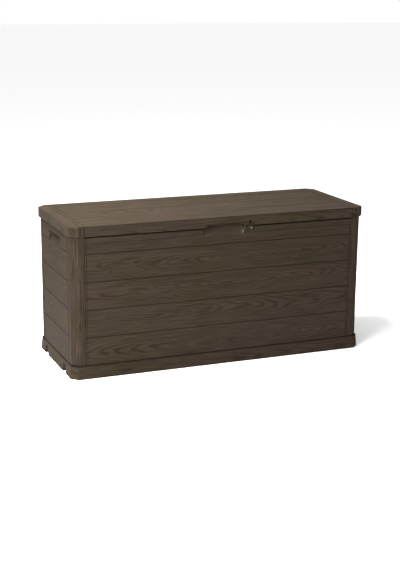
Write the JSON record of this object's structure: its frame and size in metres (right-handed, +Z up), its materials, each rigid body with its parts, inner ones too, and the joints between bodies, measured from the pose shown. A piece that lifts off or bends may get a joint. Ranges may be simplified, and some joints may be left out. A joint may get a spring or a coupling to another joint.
{
  "type": "deck storage box",
  "caption": "Long outdoor storage box of brown wood-effect plastic planks with corner posts, a flared base, an overhanging hinged lid and two small wheels at one end.",
  "frame": {"origin": "on the ground under the middle of the box, at the centre of its footprint", "axes": "+X along the length away from the wheel end, +Y from the front to the hinge side, +Z up"},
  "size_m": [1.17, 0.45, 0.56],
  "materials": {
    "base_brown": "moulded wood grain, matte",
    "wall_brown": "moulded plank and wood grain, matte",
    "post_brown": "moulded upright wood grain, matte",
    "lid_brown": "moulded plank and wood grain, matte",
    "hinge_brown": "fine moulded texture",
    "zinc_steel": "zinc plated",
    "wheel_black": "matte black"
  },
  "bodies": {
    "box": {"base_tray": "base_brown", "front_panel": "wall_brown", "rear_panel": "wall_brown", "left_end_panel": "wall_brown", "right_end_panel": "wall_brown", "corner_post_front_left": "post_brown", "corner_post_front_right": "post_brown", "corner_post_rear_left": "post_brown", "corner_post_rear_right": "post_brown", "padlock_eye": "hinge_brown", "hinge_body_leaf_1": "hinge_brown", "hinge_pin_1": "zinc_steel", "hinge_screw_1_1": "zinc_steel", "hinge_screw_1_2": "zinc_steel", "hinge_body_leaf_2": "hinge_brown", "hinge_pin_2": "zinc_steel", "hinge_screw_2_1": "zinc_steel", "hinge_screw_2_2": "zinc_steel", "hinge_body_leaf_3": "hinge_brown", "hinge_pin_3": "zinc_steel", "hinge_screw_3_1": "zinc_steel", "hinge_screw_3_2": "zinc_steel", "wheel_axle_front": "zinc_steel", "wheel_axle_rear": "zinc_steel"},
    "lid": {"lid_shell": "lid_brown", "hinge_lid_leaf_1": "hinge_brown", "hinge_lid_leaf_2": "hinge_brown", "hinge_lid_leaf_3": "hinge_brown"},
    "front_wheel": {"wheel_front": "wheel_black"},
    "rear_wheel": {"wheel_rear": "wheel_black"}
  },
  "joints": [
    {"name": "lid_hinge", "type": "hinge", "parent": "box", "child": "lid", "pos_m": [0, 0.2195, 0.522], "axis": [-1, 0, 0], "range_deg": [0, 100]},
    {"name": "front_wheel_spin", "type": "hinge", "parent": "box", "child": "front_wheel", "pos_m": [-0.5595, -0.12, 0.0218], "axis": [0, 1, 0], "continuous": true},
    {"name": "rear_wheel_spin", "type": "hinge", "parent": "box", "child": "rear_wheel", "pos_m": [-0.5595, 0.12, 0.0218], "axis": [0, 1, 0], "continuous": true}
  ]
}
